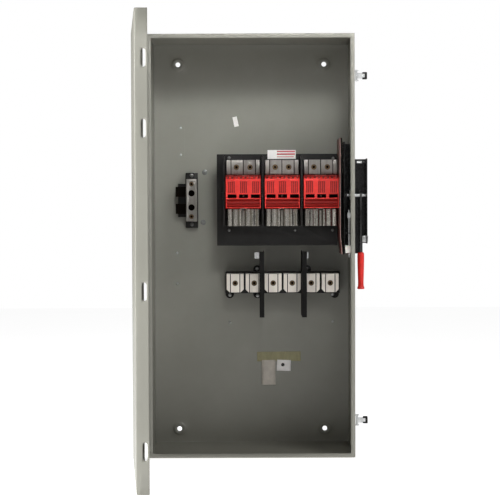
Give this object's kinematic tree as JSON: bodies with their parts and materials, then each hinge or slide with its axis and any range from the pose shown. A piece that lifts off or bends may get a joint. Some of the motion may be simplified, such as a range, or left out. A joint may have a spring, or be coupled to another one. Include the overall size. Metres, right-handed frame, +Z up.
{
  "type": "fusible disconnect switch box",
  "caption": "Wall-hung steel switch box with a side-hinged door, outside lever handle, three-pole fused knife switch with red arc shields, load terminals and a ground bar.",
  "frame": {"origin": "centre of the box's flat back face, where it meets the wall", "axes": "+X to the right seen from the front, +Y into the wall, +Z up"},
  "size_m": [0.7047, 0.921, 1.26],
  "materials": {
    "grey_paint": "baked grey enamel on sheet steel, semi-gloss",
    "black_moulding": "compression-moulded black thermoset",
    "black_steel": "black powder coat on folded steel",
    "red_plastic": "injection-moulded red plastic",
    "red_fibre": "red glass-polyester insulating sheet with a sanded edge",
    "aluminium": "tin-plated aluminium, machined",
    "plated_copper": "silver-plated copper, satin",
    "zinc_steel": "bright zinc-plated steel",
    "nylon": "natural nylon",
    "label_card": null
  },
  "bodies": {
    "enclosure": {"enclosure_box": "grey_paint", "ground_bar": "aluminium", "ground_bar_base": "black_moulding", "handle_housing": "black_steel", "housing_spacer": "zinc_steel", "interlock_spring": "zinc_steel", "label_card": "label_card", "left_arc_shield": "red_plastic", "left_fuse_clip": "plated_copper", "left_line_jaw": "plated_copper", "left_line_lug": "aluminium", "left_phase_barrier": "black_moulding", "left_pole_left_load_lug": "aluminium", "left_pole_right_load_lug": "aluminium", "load_terminal_base": "black_moulding", "lower_base_bracket": "black_steel", "lower_hinge_box_leaf": "zinc_steel", "lower_hinge_pin": "zinc_steel", "lower_latch_bracket": "zinc_steel", "mechanism_frame": "black_steel", "middle_arc_shield": "red_plastic", "middle_fuse_clip": "plated_copper", "middle_line_jaw": "plated_copper", "middle_line_lug": "aluminium", "middle_pole_left_load_lug": "aluminium", "middle_pole_right_load_lug": "aluminium", "right_arc_shield": "red_plastic", "right_fuse_clip": "plated_copper", "right_line_jaw": "plated_copper", "right_line_lug": "aluminium", "right_phase_barrier": "black_moulding", "right_pole_left_load_lug": "aluminium", "right_pole_right_load_lug": "aluminium", "rod_guide_block": "nylon", "shaft_bushing": "nylon", "side_insulating_barrier": "red_fibre", "spring_seat": "black_steel", "switch_base": "black_moulding", "upper_base_bracket": "black_steel", "upper_hinge_box_leaf": "zinc_steel", "upper_hinge_pin": "zinc_steel", "upper_latch_bracket": "zinc_steel"},
    "door": {"door": "grey_paint", "door_interlock_catch": "zinc_steel", "upper_hinge_door_leaf": "zinc_steel", "lower_hinge_door_leaf": "zinc_steel"},
    "handle": {"handle_shaft": "zinc_steel", "operating_crank": "zinc_steel", "handle_arm": "zinc_steel", "handle_grip": "red_plastic"},
    "rotor": {"blade_crossbar": "black_moulding", "left_switch_blade": "plated_copper", "middle_switch_blade": "plated_copper", "right_switch_blade": "plated_copper"},
    "interlock": {"interlock_hook": "zinc_steel"},
    "upper_latch": {"upper_latch_lever": "zinc_steel", "upper_latch_knob": "black_moulding"},
    "lower_latch": {"lower_latch_lever": "zinc_steel", "lower_latch_knob": "black_moulding"},
    "padlock_tab": {"padlock_tab": "zinc_steel"}
  },
  "joints": [
    {"name": "door_hinge", "type": "hinge", "parent": "enclosure", "child": "door", "pos_m": [-0.313, -0.297, 0], "axis": [0, 0, 1], "range_deg": [-80, 85]},
    {"name": "handle_hinge", "type": "hinge", "parent": "enclosure", "child": "handle", "pos_m": [0.305, -0.182, 0.15], "axis": [-1, 0, 0], "range_deg": [0, 160]},
    {"name": "rotor_hinge", "type": "hinge", "parent": "enclosure", "child": "rotor", "pos_m": [-0.0238, -0.182, 0.15], "axis": [-1, 0, 0], "range_deg": [0, 50]},
    {"name": "interlock_slide", "type": "slide", "parent": "enclosure", "child": "interlock", "axis": [0, 0, 1], "range_m": [0, 0.01], "deforming": ["interlock_spring"]},
    {"name": "upper_latch_hinge", "type": "hinge", "parent": "enclosure", "child": "upper_latch", "pos_m": [0.312, -0.2965, 0.502], "axis": [0, 0, -1], "range_deg": [0, 90]},
    {"name": "lower_latch_hinge", "type": "hinge", "parent": "enclosure", "child": "lower_latch", "pos_m": [0.312, -0.2965, -0.517], "axis": [0, 0, -1], "range_deg": [0, 90]},
    {"name": "padlock_tab_slide", "type": "slide", "parent": "enclosure", "child": "padlock_tab", "axis": [-1, 0, 0], "range_m": [0, 0.012]}
  ],
  "couplings": [
    {"joint": "rotor_hinge", "follows": "handle_hinge", "ratio": 0.3125},
    {"joint": "interlock_slide", "follows": "handle_hinge", "m_per_rad": 0.00358}
  ]
}
